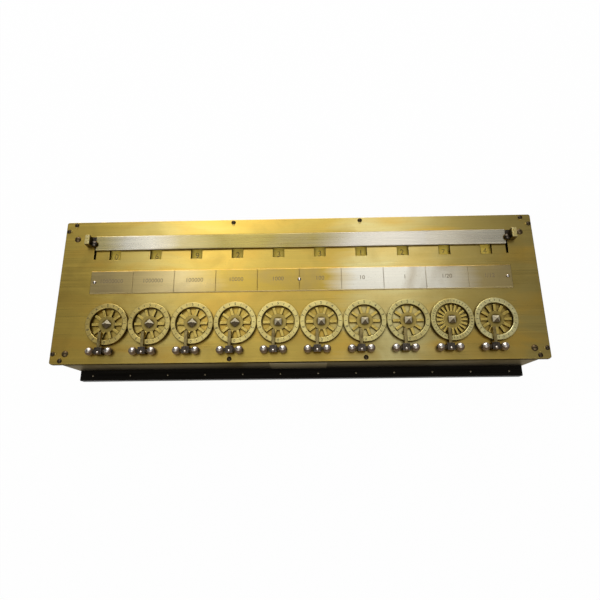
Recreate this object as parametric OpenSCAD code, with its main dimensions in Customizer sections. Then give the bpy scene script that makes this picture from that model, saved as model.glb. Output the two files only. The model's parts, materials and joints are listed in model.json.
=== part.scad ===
/* [Case] */
// Plate left and right of the outer dial fields
side_margin = 30; // [26:0.5:40]
// Thickness of the four case panels
wall_t = 3; // [2:0.5:5]
// Height of the case panels
wall_h = 60; // [56:1:80]
// Thickness of the base board
base_t = 10; // [6:1:16]
// Base board in front of and behind the case
base_ledge = 10.6; // [8:0.2:20]
// Thickness of the top plate
plate_t = 3; // [2:0.2:5]
// Radius of the top plate's corners
plate_corner_r = 2; // [1:0.5:4]
// Top plate past the end panels
overhang_x = 2; // [1:0.5:4]
// Top plate past the front and back panels
overhang_y = 2.5; // [1.5:0.5:4]
// Width of the blank plaque on the front panel
plaque_w = 58; // [30:1:90]
// Height of the blank plaque
plaque_h = 36; // [20:1:44]
// Thickness of the blank plaque
plaque_t = 1.2; // [0.8:0.1:2]

/* [Plate layout] */
// Distance between neighbouring dials
pitch = 42; // [40:0.5:48]
// Dials to the right of the plate's middle
column_shift = 2.5; // [0:0.5:4]
// Dial centres behind the plate's front edge
dial_setback = 38.3; // [36:0.1:48]
// Plate between the dial rings and the label strip
strip_gap = 10.8; // [6:0.2:16]
// Width of the label strip, front to back
strip_w = 24.6; // [18:0.2:32]
// Thickness of the label strip
strip_t = 1.2; // [0.8:0.1:2]
// Label strip past the outer dial centres
strip_reach = 21.5; // [16:0.5:23]
// Plate between the label strip and the windows
window_gap = 12; // [8:0.5:18]
// Width of a number window
window_w = 11.6; // [8:0.2:16]
// Length of a number window, front to back
window_len = 23.4; // [20:0.2:28]
// Plate behind the windows
rear_margin = 19; // [16:0.5:28]

/* [Dials] */
// Gap between neighbouring dial rings
ring_gap = 0.2; // [0.2:0.1:2]
// Radial width of a dial ring
ring_w = 4.9; // [3:0.1:6]
// Height of a dial ring
ring_h = 4.6; // [3.6:0.2:6]
// Bevel on the edges of a dial ring
ring_bevel = 0.5; // [0.2:0.1:1]
// Thickness of the flange of a dial bush
flange_t = 2; // [1.5:0.1:3]
// Radius of the hub of the ten and twelve part wheels
hub_r = 8; // [6.6:0.1:8.6]
// Radius of the hub of the twenty part wheel
fine_hub_r = 8.6; // [7.6:0.1:8.8]
// Height of the spokes and the hub
spoke_h = 2.2; // [1.5:0.1:2.6]
// Width of a spoke on the ten and twelve part wheels
spoke_w = 2.6; // [1.6:0.1:3]
// Width of a spoke on the twenty part wheel
fine_spoke_w = 2; // [1:0.1:2.2]
// Gap between the spokes' ends and the dial ring
spoke_end_gap = 1.1; // [0.8:0.1:2.4]
// Side of the square nut on a wheel
nut_side = 6.5; // [5:0.1:9]
// Height of the square foot of the nut
nut_foot_h = 0.8; // [0.4:0.1:2]
// Height of the pyramid on the nut
nut_h = 4.2; // [3:0.1:7]

/* [Stops] */
// Stop to the left of its dial's centre
stop_shift = 4.4; // [2:0.1:6]
// Stop's middle in front of its dial ring
stop_gap = 6.1; // [5:0.1:8]
// Width of the boss of a stop
boss_w = 7.2; // [6:0.2:10]
// Depth of the boss of a stop
boss_d = 6.8; // [5:0.2:8]
// Radius of the balls of a stop
ball_r = 4; // [3:0.1:4.6]
// Gap between a ball and the boss
ball_gap = 1.5; // [0.3:0.1:2.5]
// Radius of the spindle that carries the balls
spindle_r = 1.8; // [1:0.1:2]
// Width of the finger over the dial
finger_w = 3; // [2:0.1:4]
// Thickness of the finger
finger_t = 2; // [1.5:0.1:3]
// Finger's tip in front of the dial's centre
finger_stop = 8.5; // [8:0.1:12]

/* [Cover bar] */
// Width of the cover bar, front to back
bar_w = 16; // [14:0.2:20]
// Thickness of the cover bar
bar_t = 2.5; // [2:0.1:4]
// Bevel along the cover bar
bar_bevel = 0.8; // [0.4:0.1:1.2]
// Cover bar past the outer dial centres
bar_reach = 19.8; // [15:0.1:20.4]
// Part of a window that the cover bar leaves open
view_len = 9.7; // [8:0.1:11]
// Width of the lug between the bar and the grip at each end
lug_w = 4.8; // [4:0.1:6]
// Radius of the guide screw's head at each end
guide_screw_r = 3.4; // [2.5:0.1:4]
// Width of the grip at each end
grip_w = 5; // [3:0.1:6]
// Depth of the grip, front to back
grip_d = 10; // [6:0.2:11]
// Height of the grip
grip_h = 8.5; // [6:0.1:10]
// Width of the guide key in its slot
key_w = 1.9; // [1.5:0.1:2.4]
// Length of the guide key
key_len = 8; // [6:0.2:10]

/* [Gearing] */
// Radius of the upright and cross arbors
arbor_r = 2.5; // [2:0.1:3]
// Radius of the pivots of a cross arbor
pivot_r = 2; // [1.5:0.1:2.4]
// Length of a dial bush below its flange
bush_h = 3; // [2:0.2:5]
// Radius of the pin circle of the crown and pin wheels
crown_r = 10; // [9:0.1:11]
// Thickness of the wheels on the arbors
wheel_t = 2.2; // [1.6:0.1:2.6]
// Length of the crown pins
crown_pin_len = 5; // [4.8:0.1:5.6]
// Depth to which the crown pins reach between the wheel pins
mesh_depth = 2.6; // [2:0.1:2.8]
// Wall of a number drum
drum_wall = 1.5; // [1:0.1:3]
// Gap between a number drum and the top plate
drum_gap = 1; // [0.5:0.1:2]
// Radius of the ratchet wheel
ratchet_r = 9.5; // [8:0.1:10]
// Radius of the circle of the carry pins
carry_r = 8; // [6:0.1:9]
// Width of a carry lever's arm, up and down
lever_w = 5; // [4:0.2:6]
// Thickness of a carry lever's arm
lever_t = 3; // [2:0.2:3.6]
// Height of the weight under a carry lever
weight_h = 11; // [8:0.5:14]
// Thickness of the frame plates
frame_t = 3; // [2:0.2:4]

/* [Fasteners] */
// Radius of the head of a corner screw
screw_r = 3.25; // [2.5:0.05:4]
// Front corner screws from the ends of the plate
front_screw_x = 14.5; // [12:0.5:18]
// Front corner screws from the front edge
front_screw_y = 10; // [9.5:0.5:14]
// Back corner screws from the ends of the plate
back_screw_x = 12.8; // [11:0.2:16]
// Back corner screws from the back edge
back_screw_y = 19; // [12:0.5:24]
// Length of an edge clip
clip_len = 6; // [5:0.1:7]
// Middle edge clips from the middle of the plate
clip_mid_x = 65.5; // [40:0.5:90]
// Corner edge clips from the plate's corners
clip_corner = 10; // [8.5:0.5:12]
// Radius of a label pin's head
label_pin_r = 1.8; // [1.4:0.1:2.4]
// Number of nails along each ledge
nail_count = 12; // [6:1:12]
// Distance between the nails
nail_pitch = 40.7; // [30:0.1:42]
// Radius of a nail's head
nail_r = 1.2; // [0.8:0.1:1.6]

/* [Fits] */
// Radial clearance of a shaft or shank in its hole
run_fit = 0.05; // [0.02:0.01:0.1]
// Gap between pieces that move past each other
free_gap = 0.3; // [0.2:0.05:0.4]
// Gap between the ratchet or carry parts and what they drive
click_gap = 0.5; // [0.4:0.1:1]

/* [Hidden] */
$fn = 48;
eps = 0.01;

// Parts of a turn on each dial, from left to right
divisions = [10, 10, 10, 10, 10, 10, 10, 10, 20, 12];
columns = len(divisions);
// Digit columns whose nut stands corner forward
turned_nuts = 4;

// Outline of the plate, the case and the base board
ring_or = (pitch - ring_gap) / 2;
ring_ir = ring_or - ring_w;
plate_w = columns * pitch + 2 * side_margin;
plate_d = dial_setback + ring_or + strip_gap + strip_w + window_gap + window_len + rear_margin;
plate_front = -plate_d / 2;
box_w = plate_w - 2 * overhang_x;
box_d = plate_d - 2 * overhang_y;
base_d = box_d + 2 * base_ledge;
inner_x = box_w / 2 - wall_t;
inner_y = box_d / 2 - wall_t;

// Heights of the plate's faces
plate_bottom = base_t + wall_h;
plate_top = plate_bottom + plate_t;

// Rows on the plate, front to back
dial_y = plate_front + dial_setback;
strip_front = dial_y + ring_or + strip_gap;
strip_back = strip_front + strip_w;
window_front = strip_back + window_gap;
window_back = window_front + window_len;
last_dial_x = (columns - 1) / 2 * pitch;
strip_half = last_dial_x + strip_reach;
strip_bevel = 0.8 * strip_t;
divider_w = 0.4;
divider_depth = 0.25;

// Dial bushes and spoked wheels
bush_r = arbor_r + 3.5;
flange_r = bush_r + 5;
flange_bottom = plate_bottom - flange_t;
bush_bottom = flange_bottom - bush_h;
wheel_bottom = plate_top + free_gap;
wheel_top = wheel_bottom + spoke_h;
spoke_r = ring_ir - spoke_end_gap;

// Stops
stop_y = dial_y - ring_or - stop_gap;
ball_x = boss_w / 2 + ball_gap + ball_r;
spindle_z = plate_top + ball_r + 0.2;
finger_z = plate_top + ring_h + 0.5;
finger_tip_t = 1.8;
finger_tip_z = wheel_top + click_gap;
boss_top = max(finger_z + finger_t, spindle_z + spindle_r + 1);
tenon_r = 2;
nose_r = 1.5;
nose_h = 1.2;
nose_y = stop_y - boss_d / 2 + nose_r + 0.2;

// Cover bar, drawn back over the rear row of numbers
bar_half = last_dial_x + bar_reach;
bar_front = window_front + view_len;
bar_y = bar_front + bar_w / 2;
bar_z = plate_top + free_gap;
bar_travel = 2 * view_len + bar_w - window_len;
slot_x = bar_half + key_w / 2 + 0.1;
slot_w = key_w + 2 * free_gap - 0.1;
slot_front = bar_y - key_len / 2 - bar_travel - 1;
slot_back = bar_y + key_len / 2 + 1;
key_foot_w = slot_w + 3.6;
key_foot_t = 1.5;
grip_bevel = 0.6;
lug_d = grip_d - grip_bevel;
grip_y = bar_y + bar_w / 8;
guide_screw_y = bar_y - bar_w / 12;
guide_screw_h = 1.2 * guide_screw_r;

// Crown wheels and cross arbors
crown_top = bush_bottom - free_gap;
crown_bottom = crown_top - wheel_t;
crown_tip = crown_bottom - crown_pin_len;
crown_rim = crown_r + 2;
arbor_z = crown_tip + mesh_depth - crown_r;
mesh_y = dial_y + crown_r;
pin_tip_y = mesh_y - 2.5;
pin_wheel_y = mesh_y + 3;
drum_r = plate_bottom - drum_gap - arbor_z;
drum_front = window_front - 2.1;
drum_back = window_back + 2.5;
drum_hub_r = arbor_r + 2.5;
front_room = 7;
head_room = 8;
end_room = 24.5;
rod_lift = 10;
frame_front = -inner_y + front_room;
frame_back = drum_back + 3;
frame_top = arbor_z + head_room;
frame_half = last_dial_x + end_room;
rod_r = 3;
rod_x = frame_half - rod_r - 1;
rod_z = base_t + rod_lift;

// Carry works between the pin wheels and the drums
lever_room = 18.3;
ratchet_room = 6;
carry_room = 10;
lever_y = pin_wheel_y + wheel_t + lever_room;
lever_hub_r = arbor_r + 2.5;
lever_hub_len = 6;
ratchet_y = lever_y - ratchet_room;
ratchet_t = 2.5;
carry_disc_y = lever_y + carry_room;
carry_pin_r = 1;
carry_pin_len = 3.5;
lever_foot_len = 9;
lever_reach = pitch - carry_r - carry_pin_r - click_gap;
lever_foot_w = 4;
pawl_w = 3;
weight_x = ratchet_r + click_gap + pawl_w + 3;
weight_w = 8;
rest_top = arbor_z - lever_w / 2 - weight_h - free_gap;
spring_t = 0.8;
spring_foot_w = 5;
spring_foot_h = 3;

// Fasteners
screw_h = 1.9;
shank_r = 1.6;
shank_len = 9;
screw_slot_w = 0.8;
clip_r = 2.4;
clip_set = 1;
clip_tail = clip_len - clip_r - clip_set;
clip_t = 1.4;
clip_tail_w = 1.6;
clip_shank_r = 0.9;
clip_shank_len = 5;
label_shank_r = 0.9;
nail_h = 0.8;
nail_shank_r = 0.7;
nail_len = 6;
nail_y = box_d / 2 + base_ledge / 2;
post_margin = 5.5;
corner_screws = [
    for (side = [-1, 1]) [side * (plate_w / 2 - front_screw_x), plate_front + front_screw_y],
    for (side = [-1, 1]) [side * (plate_w / 2 - back_screw_x), -plate_front - back_screw_y]
];
// Each clip's place and the way its tail points
edge_clips_at = [
    for (row = [-1, 1], side = [-1, 1], x = [clip_mid_x, plate_w / 2 - clip_corner])
        [side * x, row * (box_d - wall_t) / 2, -row * 90],
    for (row = [-1, 1], side = [-1, 1])
        [side * (box_w - wall_t) / 2, row * (plate_d / 2 - clip_corner), 90 + side * 90]
];
label_pins_x = [for (side = [-1, 0, 1]) column_shift + side * (strip_half - 4)];

brass = [0.72, 0.58, 0.30];
pale_brass = [0.80, 0.73, 0.52];
silvered = [0.80, 0.77, 0.66];
steel = [0.62, 0.62, 0.60];
dark_steel = [0.22, 0.21, 0.20];
ebony = [0.07, 0.06, 0.06];

function column_x(c) = column_shift + (c - (columns + 1) / 2) * pitch;
function parts_of(c) = divisions[c - 1];
function pin_r(c) = crown_r / parts_of(c);

// Box from one corner to the opposite one
module block(from, to) {
    translate(from) cube(to - from);
}

// Half ball standing on the floor
module dome(r, h) {
    ball = (r * r + h * h) / (2 * h);
    intersection() {
        translate([0, 0, h - ball]) sphere(ball);
        cylinder(r = r, h = h);
    }
}

// Bar along X with bevelled upper edges
module bevelled_bar(half, front, back, thick, bevel) {
    outline = [
        [front, 0],
        [back, 0],
        [back, thick - bevel],
        [back - bevel, thick],
        [front + bevel, thick],
        [front, thick - bevel]
    ];
    translate([-half, 0, 0])
        rotate([90, 0, 90])
            linear_extrude(2 * half) polygon(outline);
}

// Cylinder along Y between two places
module along_y(r, from, to) {
    translate([0, to, 0]) rotate([90, 0, 0]) cylinder(r = r, h = to - from);
}

// Ring along Y with a bore for the cross arbor
module wheel_along_y(r, from, to) {
    difference() {
        along_y(r, from, to);
        along_y(arbor_r + run_fit, from - eps, to + eps);
    }
}

module base_board() {
    color(ebony)
        difference() {
            block([-box_w / 2, -base_d / 2, 0], [box_w / 2, base_d / 2, base_t]);
            at_nails() cylinder(r = nail_shank_r + run_fit, h = 3 * nail_len, center = true);
        }
}

// Top of each nail's shank
module at_nails() {
    for (row = [-1, 1], i = [0:nail_count - 1])
        translate([(i - (nail_count - 1) / 2) * nail_pitch, row * nail_y, base_t]) children();
}

module base_nails() {
    color(steel)
        at_nails() {
            dome(nail_r, nail_h);
            translate([0, 0, -nail_len]) cylinder(r = nail_shank_r, h = nail_len);
        }
}

// Holes for the shanks of the edge clips
module clip_holes() {
    for (clip = edge_clips_at)
        translate([clip[0], clip[1], plate_bottom - clip_shank_len - 0.5])
            cylinder(r = clip_shank_r + run_fit, h = clip_shank_len + plate_t + 1);
}

module front_panel() {
    color(brass)
        difference() {
            block([-box_w / 2, -box_d / 2, base_t], [box_w / 2, -inner_y, plate_bottom]);
            clip_holes();
        }
}

module back_panel() {
    color(brass)
        difference() {
            block([-box_w / 2, inner_y, base_t], [box_w / 2, box_d / 2, plate_bottom]);
            clip_holes();
        }
}

module end_panels() {
    color(brass)
        difference() {
            for (side = [-1, 1])
                translate([side * (box_w - wall_t) / 2, 0, 0])
                    block([-wall_t / 2, -inner_y, base_t], [wall_t / 2, inner_y, plate_bottom]);
            clip_holes();
        }
}

// Block that fills a corner of the case round its screw
module corner_post(at) {
    side = sign(at[0]);
    row = sign(at[1]);
    near = [abs(at[0]) - post_margin, abs(at[1]) - post_margin];
    difference() {
        mirror([side < 0 ? 1 : 0, 0, 0])
            mirror([0, row < 0 ? 1 : 0, 0])
                block([near[0], near[1], base_t], [inner_x, inner_y, plate_bottom]);
        translate([at[0], at[1], plate_top - shank_len - 1])
            cylinder(r = shank_r + run_fit, h = shank_len + 2);
    }
}

module corner_posts() {
    color(brass)
        for (at = corner_screws) corner_post(at);
}

module front_plaque() {
    middle = base_t + wall_h * 0.42;
    color(pale_brass)
        block(
            [-plaque_w / 2, -box_d / 2 - plaque_t, middle - plaque_h / 2],
            [plaque_w / 2, -box_d / 2, middle + plaque_h / 2]
        );
}

// Plate outline with round corners
module plate_outline() {
    x = plate_w / 2;
    y = plate_d / 2;
    r = plate_corner_r;
    square([2 * x, 2 * (y - r)], center = true);
    square([2 * (x - r), 2 * y], center = true);
    for (sx = [-1, 1], sy = [-1, 1])
        translate([sx * (x - r), sy * (y - r)]) circle(r);
}

// Openings of the plate seen from above
module plate_openings() {
    for (c = [1:columns])
        translate([column_x(c), 0]) {
            translate([0, dial_y]) circle(bush_r + run_fit);
            translate([-window_w / 2, window_front]) square([window_w, window_len]);
            translate([-stop_shift, stop_y]) circle(tenon_r + run_fit);
        }
    for (side = [-1, 1])
        translate([column_shift + side * slot_x - slot_w / 2, slot_front])
            square([slot_w, slot_back - slot_front]);
    for (at = corner_screws) translate(at) circle(shank_r + run_fit);
    for (x = label_pins_x)
        translate([x, (strip_front + strip_back) / 2]) circle(label_shank_r + run_fit);
}

module top_plate() {
    color(brass)
        difference() {
            translate([0, 0, plate_bottom])
                linear_extrude(plate_t)
                    difference() {
                        plate_outline();
                        plate_openings();
                    }
            clip_holes();
        }
}

module plate_screws() {
    color(dark_steel)
        for (at = corner_screws)
            translate([at[0], at[1], plate_top]) {
                difference() {
                    dome(screw_r, screw_h);
                    translate([0, 0, screw_h])
                        cube([2 * screw_r, screw_slot_w, screw_h], center = true);
                }
                translate([0, 0, -shank_len]) cylinder(r = shank_r, h = shank_len + eps);
            }
}

module edge_clips() {
    color(dark_steel)
        for (clip = edge_clips_at)
            translate([clip[0], clip[1], plate_top])
                rotate([0, 0, clip[2]]) {
                    translate([-clip_set, 0, 0]) dome(clip_r, clip_t);
                    block([0, -clip_tail_w / 2, 0], [clip_tail, clip_tail_w / 2, clip_t / 2]);
                    translate([0, 0, -plate_t - clip_shank_len])
                        cylinder(r = clip_shank_r, h = plate_t + clip_shank_len + eps);
                }
}

module label_strip() {
    color(pale_brass)
        difference() {
            translate([column_shift, 0, plate_top])
                bevelled_bar(strip_half, strip_front, strip_back, strip_t, strip_bevel);
            for (c = [1:columns - 1])
                translate([column_x(c) + pitch / 2, 0, plate_top + strip_t])
                    block(
                        [-divider_w / 2, strip_front - 1, -divider_depth],
                        [divider_w / 2, strip_back + 1, 1]
                    );
            for (x = label_pins_x)
                translate([x, (strip_front + strip_back) / 2, plate_top - 1])
                    cylinder(r = label_shank_r + run_fit, h = strip_t + 2);
        }
}

module label_pins() {
    color(steel)
        for (x = label_pins_x)
            translate([x, (strip_front + strip_back) / 2, plate_top + strip_t]) {
                dome(label_pin_r, label_pin_r * 0.7);
                translate([0, 0, -strip_t - plate_t])
                    cylinder(r = label_shank_r, h = strip_t + plate_t + eps);
            }
}

module dial_rings() {
    outline = [
        [ring_ir, 0],
        [ring_or, 0],
        [ring_or, ring_h - ring_bevel],
        [ring_or - ring_bevel, ring_h],
        [ring_ir + ring_bevel, ring_h],
        [ring_ir, ring_h - ring_bevel]
    ];
    color(silvered)
        for (c = [1:columns])
            translate([column_x(c), dial_y, plate_top])
                rotate_extrude() polygon(outline);
}

// Flanged bushes that carry the upright arbors
module dial_bushes() {
    color(brass)
        for (c = [1:columns])
            translate([column_x(c), dial_y, 0])
                difference() {
                    union() {
                        translate([0, 0, flange_bottom]) cylinder(r = flange_r, h = flange_t);
                        translate([0, 0, bush_bottom])
                            cylinder(r = bush_r, h = plate_top - bush_bottom);
                    }
                    translate([0, 0, bush_bottom - 1])
                        cylinder(r = arbor_r + run_fit, h = plate_top - bush_bottom + 2);
                }
}

// Square nut with a pyramid on top
module pyramid_nut() {
    gable = [[-nut_side / 2, 0], [nut_side / 2, 0], [0, nut_h]];
    translate([0, 0, nut_foot_h / 2]) cube([nut_side, nut_side, nut_foot_h], center = true);
    translate([0, 0, nut_foot_h])
        intersection() {
            rotate([90, 0, 0]) linear_extrude(nut_side, center = true) polygon(gable);
            rotate([90, 0, 90]) linear_extrude(nut_side, center = true) polygon(gable);
        }
}

// Hub with flat spokes set against its rim
module spoked_wheel(count) {
    width = count > 12 ? fine_spoke_w : spoke_w;
    hub = count > 12 ? fine_hub_r : hub_r;
    difference() {
        cylinder(r = hub, h = spoke_h);
        translate([0, 0, -1]) cylinder(r = arbor_r + run_fit, h = spoke_h + 2);
    }
    for (i = [0:count - 1])
        rotate([0, 0, i * 360 / count])
            block([hub + run_fit, -width / 2, 0], [spoke_r, width / 2, spoke_h]);
}

module input_wheel(c) {
    color(brass)
        translate([column_x(c), dial_y, wheel_bottom]) spoked_wheel(parts_of(c));
    color(steel)
        translate([column_x(c), dial_y, wheel_top + run_fit])
            rotate([0, 0, c <= turned_nuts ? 45 : 0]) pyramid_nut();
}

module crown_wheel(c) {
    count = parts_of(c);
    translate([column_x(c), dial_y, 0]) {
        color(steel)
            translate([0, 0, crown_bottom]) cylinder(r = arbor_r, h = wheel_top - crown_bottom);
        color(brass) {
            difference() {
                translate([0, 0, crown_bottom]) cylinder(r = crown_rim, h = wheel_t);
                translate([0, 0, crown_bottom - 1]) cylinder(r = arbor_r + run_fit, h = wheel_t + 2);
            }
            for (i = [0:count - 1])
                rotate([0, 0, 90 + i * 360 / count])
                    translate([crown_r, 0, crown_tip])
                        cylinder(r = pin_r(c), h = crown_pin_len + eps);
        }
    }
}

// Cross arbor with a pivot at each end
module cross_arbor() {
    along_y(arbor_r, frame_front + frame_t + free_gap, frame_back - free_gap);
    along_y(pivot_r, frame_front, frame_back + frame_t);
}

// Wheel whose pins point forward between the crown pins
module pin_wheel(c) {
    count = parts_of(c);
    wheel_along_y(crown_rim, pin_wheel_y, pin_wheel_y + wheel_t);
    for (i = [0:count - 1])
        rotate([0, (i + 0.5) * 360 / count, 0])
            translate([0, 0, crown_r]) along_y(pin_r(c), pin_tip_y, pin_wheel_y + eps);
}

// Saw-toothed wheel that the click springs hold
module ratchet_wheel(c) {
    count = parts_of(c);
    root_r = ratchet_r - 1.4;
    teeth = [
        for (i = [0:count - 1], tip = [0, 1])
            let (a = i * 360 / count, r = tip == 0 ? root_r : ratchet_r)
                [r * cos(a), r * sin(a)]
    ];
    difference() {
        translate([0, ratchet_y + ratchet_t, 0])
            rotate([90, 0, 0]) linear_extrude(ratchet_t) polygon(teeth);
        along_y(arbor_r + run_fit, ratchet_y - 1, ratchet_y + ratchet_t + 1);
    }
}

// Disc with two pins that lift the carry lever on the left
module carry_disc() {
    wheel_along_y(carry_r + carry_pin_r + 0.5, carry_disc_y, carry_disc_y + wheel_t);
    for (turn = [45, 225])
        rotate([0, turn, 0])
            translate([0, 0, carry_r])
                along_y(carry_pin_r, carry_disc_y - carry_pin_len, carry_disc_y + eps);
}

// Open drum on a web and a hub
module drum() {
    middle = (drum_front + drum_back) / 2;
    difference() {
        along_y(drum_r, drum_front, drum_back);
        along_y(drum_r - drum_wall, drum_front - 1, drum_back + 1);
    }
    wheel_along_y(drum_r - drum_wall + eps, middle - wheel_t / 2, middle + wheel_t / 2);
    wheel_along_y(drum_hub_r, middle - 2 * wheel_t, middle + 2 * wheel_t);
}

module number_drum(c) {
    translate([column_x(c), 0, arbor_z]) {
        color(steel) cross_arbor();
        color(brass) {
            pin_wheel(c);
            ratchet_wheel(c);
            carry_disc();
        }
        color(pale_brass) drum();
    }
}

// Weighted arm on one arbor, lifted by the carry pins of the next arbor
module carry_lever(c) {
    half = lever_w / 2;
    pawl_x = ratchet_r + click_gap;
    color(steel)
        translate([column_x(c), 0, arbor_z])
            difference() {
                union() {
                    along_y(lever_hub_r, lever_y, lever_y + lever_hub_len);
                    block([0, lever_y, -half], [lever_reach, lever_y + lever_t, half]);
                    block(
                        [lever_reach - lever_foot_w, lever_y, -half],
                        [lever_reach, lever_y + lever_foot_len, half]
                    );
                    block([pawl_x, ratchet_y, -half], [pawl_x + pawl_w, lever_y + eps, half]);
                    block(
                        [weight_x, lever_y, -half - weight_h],
                        [weight_x + weight_w, lever_y + lever_hub_len, half]
                    );
                }
                along_y(arbor_r + run_fit, lever_y - 1, lever_y + lever_hub_len + 1);
            }
}

// Leaf springs on the base board beside the ratchet wheels
module click_springs() {
    color(steel)
        for (c = [1:columns])
            translate([column_x(c) - ratchet_r - click_gap, 0, 0]) {
                block(
                    [-spring_t, ratchet_y, base_t],
                    [0, ratchet_y + ratchet_t, arbor_z + lever_w / 2]
                );
                block(
                    [-spring_foot_w, ratchet_y, base_t],
                    [0, ratchet_y + ratchet_t, base_t + spring_foot_h]
                );
            }
}

// Upright plate with a bore for each cross arbor
module bearing_plate(front) {
    difference() {
        block([-frame_half, front, base_t], [frame_half, front + frame_t, frame_top]);
        for (c = [1:columns])
            translate([column_x(c) - column_shift, 0, arbor_z])
                along_y(pivot_r + run_fit, front - 1, front + frame_t + 1);
    }
}

module frame_plates() {
    color(brass)
        translate([column_shift, 0, 0]) {
            bearing_plate(frame_front);
            bearing_plate(frame_back);
            block(
                [-last_dial_x, lever_y, base_t],
                [last_dial_x, lever_y + frame_t, rest_top]
            );
            for (side = [-1, 1])
                translate([side * rod_x, 0, rod_z])
                    along_y(rod_r, frame_front + frame_t + run_fit, frame_back - run_fit);
        }
}

module stop_fingers() {
    color(dark_steel)
        for (c = [1:columns])
            translate([column_x(c) - stop_shift, 0, 0])
                difference() {
                    union() {
                        block(
                            [-boss_w / 2, stop_y - boss_d / 2, plate_top],
                            [boss_w / 2, stop_y + boss_d / 2, boss_top]
                        );
                        block(
                            [-finger_w / 2, stop_y, finger_z],
                            [finger_w / 2, dial_y - finger_stop, finger_z + finger_t]
                        );
                        block(
                            [-finger_w / 2, dial_y - finger_stop - finger_tip_t, finger_tip_z],
                            [finger_w / 2, dial_y - finger_stop, finger_z + finger_t]
                        );
                        translate([0, stop_y, plate_bottom])
                            cylinder(r = tenon_r, h = plate_t + eps);
                    }
                    translate([-boss_w, stop_y, spindle_z])
                        rotate([0, 90, 0]) cylinder(r = spindle_r + run_fit, h = 2 * boss_w);
                }
}

module stop_spindles() {
    color(steel)
        for (c = [1:columns])
            translate([column_x(c) - stop_shift, 0, 0]) {
                translate([0, stop_y, spindle_z])
                    rotate([0, 90, 0]) {
                        cylinder(r = spindle_r, h = 2 * ball_x, center = true);
                        for (side = [-1, 1]) translate([0, 0, side * ball_x]) sphere(ball_r);
                    }
                translate([0, nose_y, boss_top]) dome(nose_r, nose_h);
            }
}

module cover_bar() {
    color(silvered)
        translate([column_shift, 0, bar_z])
            bevelled_bar(bar_half, bar_front, bar_front + bar_w, bar_t, bar_bevel);
}

// Lug at the right end of the bar, with its guide screw and the key that runs in the slot
module bar_end_block() {
    block(
        [bar_half, grip_y - lug_d / 2, bar_z],
        [bar_half + lug_w, grip_y + lug_d / 2, bar_z + bar_t]
    );
    translate([slot_x, guide_screw_y, bar_z + bar_t]) dome(guide_screw_r, guide_screw_h);
    block(
        [slot_x - key_w / 2, bar_y - key_len / 2, plate_bottom - free_gap - key_foot_t],
        [slot_x + key_w / 2, bar_y + key_len / 2, bar_z + eps]
    );
    block(
        [slot_x - key_foot_w / 2, bar_y - key_len / 2, plate_bottom - free_gap - key_foot_t],
        [slot_x + key_foot_w / 2, bar_y + key_len / 2, plate_bottom - free_gap]
    );
}

module bar_end_blocks() {
    color(dark_steel)
        translate([column_shift, 0, 0])
            for (side = [0, 1])
                mirror([side, 0, 0]) bar_end_block();
}

module bar_grips() {
    color(brass)
        translate([column_shift, 0, bar_z])
            for (side = [-1, 1])
                translate([side * (bar_half + lug_w + grip_w / 2), grip_y, 0])
                    rotate([0, 0, 90])
                        bevelled_bar(grip_d / 2, -grip_w / 2, grip_w / 2, grip_h, grip_bevel);
}

base_board();
base_nails();
front_panel();
back_panel();
end_panels();
corner_posts();
front_plaque();
top_plate();
plate_screws();
edge_clips();
label_strip();
label_pins();
dial_rings();
dial_bushes();
stop_fingers();
stop_spindles();
frame_plates();
click_springs();
cover_bar();
bar_end_blocks();
bar_grips();
for (c = [1:columns]) {
    input_wheel(c);
    crown_wheel(c);
    number_drum(c);
    if (c < columns)
        carry_lever(c);
}
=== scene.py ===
import json
import math

import bpy
import bmesh
from mathutils import Matrix, Vector


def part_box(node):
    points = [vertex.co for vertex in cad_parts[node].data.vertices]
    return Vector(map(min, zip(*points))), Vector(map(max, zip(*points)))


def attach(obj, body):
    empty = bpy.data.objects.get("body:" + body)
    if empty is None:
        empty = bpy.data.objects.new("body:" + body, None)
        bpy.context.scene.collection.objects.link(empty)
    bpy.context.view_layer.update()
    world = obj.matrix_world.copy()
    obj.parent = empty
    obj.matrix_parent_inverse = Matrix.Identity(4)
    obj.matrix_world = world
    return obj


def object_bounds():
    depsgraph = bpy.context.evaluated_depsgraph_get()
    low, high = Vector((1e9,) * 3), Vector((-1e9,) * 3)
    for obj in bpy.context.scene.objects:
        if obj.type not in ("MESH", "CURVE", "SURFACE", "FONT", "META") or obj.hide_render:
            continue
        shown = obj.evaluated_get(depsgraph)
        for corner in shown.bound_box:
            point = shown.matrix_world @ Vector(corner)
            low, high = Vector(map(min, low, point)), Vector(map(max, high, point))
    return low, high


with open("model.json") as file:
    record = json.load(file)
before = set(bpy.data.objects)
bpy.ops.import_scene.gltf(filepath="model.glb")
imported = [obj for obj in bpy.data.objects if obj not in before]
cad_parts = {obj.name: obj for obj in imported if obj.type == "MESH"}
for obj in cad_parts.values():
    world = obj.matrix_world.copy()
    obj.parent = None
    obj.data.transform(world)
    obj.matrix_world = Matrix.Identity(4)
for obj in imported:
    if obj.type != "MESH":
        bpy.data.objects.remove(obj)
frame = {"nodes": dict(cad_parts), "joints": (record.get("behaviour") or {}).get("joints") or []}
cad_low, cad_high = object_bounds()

MM = 0.001
NODES = frame["nodes"]
JOINTS = {joint["name"]: joint for joint in frame["joints"]}

# Divisions of each dial, from left to right, the number each drum shows and the plain place values
DIVISIONS = [10, 10, 10, 10, 10, 10, 10, 10, 20, 12]
SHOWN = [0, 6, 9, 2, 3, 3, 1, 2, 7, 4]
PLACES = ["10000000", "1000000", "100000", "10000", "1000", "100", "10", "1", "1/20", "1/12"]
COLUMNS = range(1, len(DIVISIONS) + 1)

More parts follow.
